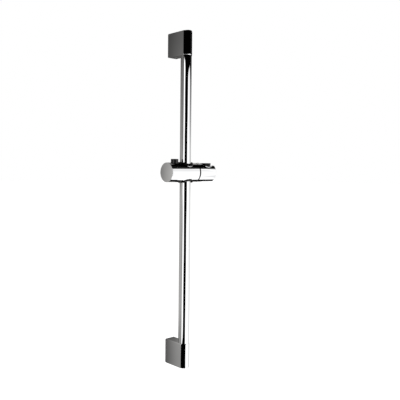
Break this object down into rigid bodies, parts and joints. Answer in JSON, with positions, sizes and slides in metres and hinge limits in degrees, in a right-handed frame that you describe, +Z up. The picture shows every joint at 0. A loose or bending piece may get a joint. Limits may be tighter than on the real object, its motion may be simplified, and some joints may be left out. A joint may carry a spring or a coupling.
{
  "type": "shower slide rail",
  "caption": "Chrome shower slide rail: a round vertical tube between block brackets, with a sliding cross cylinder that has a release button and a turning handset socket.",
  "frame": {"origin": "on the wall plane, midway between the wall screws of the upper and lower bracket", "axes": "+Z up along the rail, +Y into the wall, so the room is on the -Y side, and +X to the right as seen from the room, towards the handset socket"},
  "size_m": [0.115, 0.0627, 0.6682],
  "materials": {
    "tube_chrome": "polished chrome plating on a drawn tube",
    "bracket_chrome": "polished chrome plating on a casting",
    "slider_chrome": "polished chrome plating on a turned body",
    "cast_zinc": "bare light-metal casting, not seen",
    "screw_steel": "plain stainless steel",
    "spring_steel": "spring steel, not seen",
    "grey_plastic": "moulded low-friction plastic, not seen",
    "black_plastic": "moulded black plastic",
    "black_rubber": "soft rubber, not seen"
  },
  "bodies": {
    "wall_unit": {"rail_tube": "tube_chrome", "upper_bracket": "bracket_chrome", "lower_bracket": "bracket_chrome", "upper_wall_mount": "cast_zinc", "lower_wall_mount": "cast_zinc", "upper_grub_screw": "screw_steel", "lower_grub_screw": "screw_steel", "upper_tube_plug": "grey_plastic", "lower_tube_plug": "grey_plastic"},
    "ride_rings": {"upper_glide_ring": "black_plastic", "lower_glide_ring": "black_plastic"},
    "slider": {"slider_body": "slider_chrome", "slider_end_cap": "slider_chrome", "brake_spring": "spring_steel", "button_spring": "spring_steel", "pivot_bush": "grey_plastic", "friction_ring": "black_plastic"},
    "brake": {"brake_plunger": "grey_plastic", "brake_pad": "black_rubber"},
    "button": {"release_button": "black_plastic", "button_clip": "spring_steel"},
    "holder": {"handset_holder": "slider_chrome", "holder_liner": "black_plastic", "pivot_screw": "screw_steel", "disc_spring": "spring_steel"}
  },
  "joints": [
    {"name": "slider_height", "type": "slide", "parent": "wall_unit", "child": "ride_rings", "axis": [0, 0, 1], "range_m": [-0.317, 0.211]},
    {"name": "slider_swivel", "type": "hinge", "parent": "ride_rings", "child": "slider", "pos_m": [0, -0.0435, 0.0528], "axis": [0, 0, 1], "range_deg": [-36, 22]},
    {"name": "button_press", "type": "slide", "parent": "slider", "child": "button", "axis": [0, 0, -1], "range_m": [0, 0.003], "stiffness_N_per_m": 1500, "springref_m": -0.003, "deforming": ["button_spring"]},
    {"name": "brake_release", "type": "slide", "parent": "slider", "child": "brake", "axis": [-1, 0, 0], "range_m": [0, 0.001], "stiffness_N_per_m": 6000, "springref_m": -0.002, "deforming": ["brake_spring"]},
    {"name": "holder_turn", "type": "hinge", "parent": "slider", "child": "holder", "pos_m": [0.0241, -0.0435, 0.0528], "axis": [1, 0, 0], "continuous": true}
  ],
  "couplings": [
    {"joint": "brake_release", "follows": "button_press", "ratio": 0.3333}
  ]
}
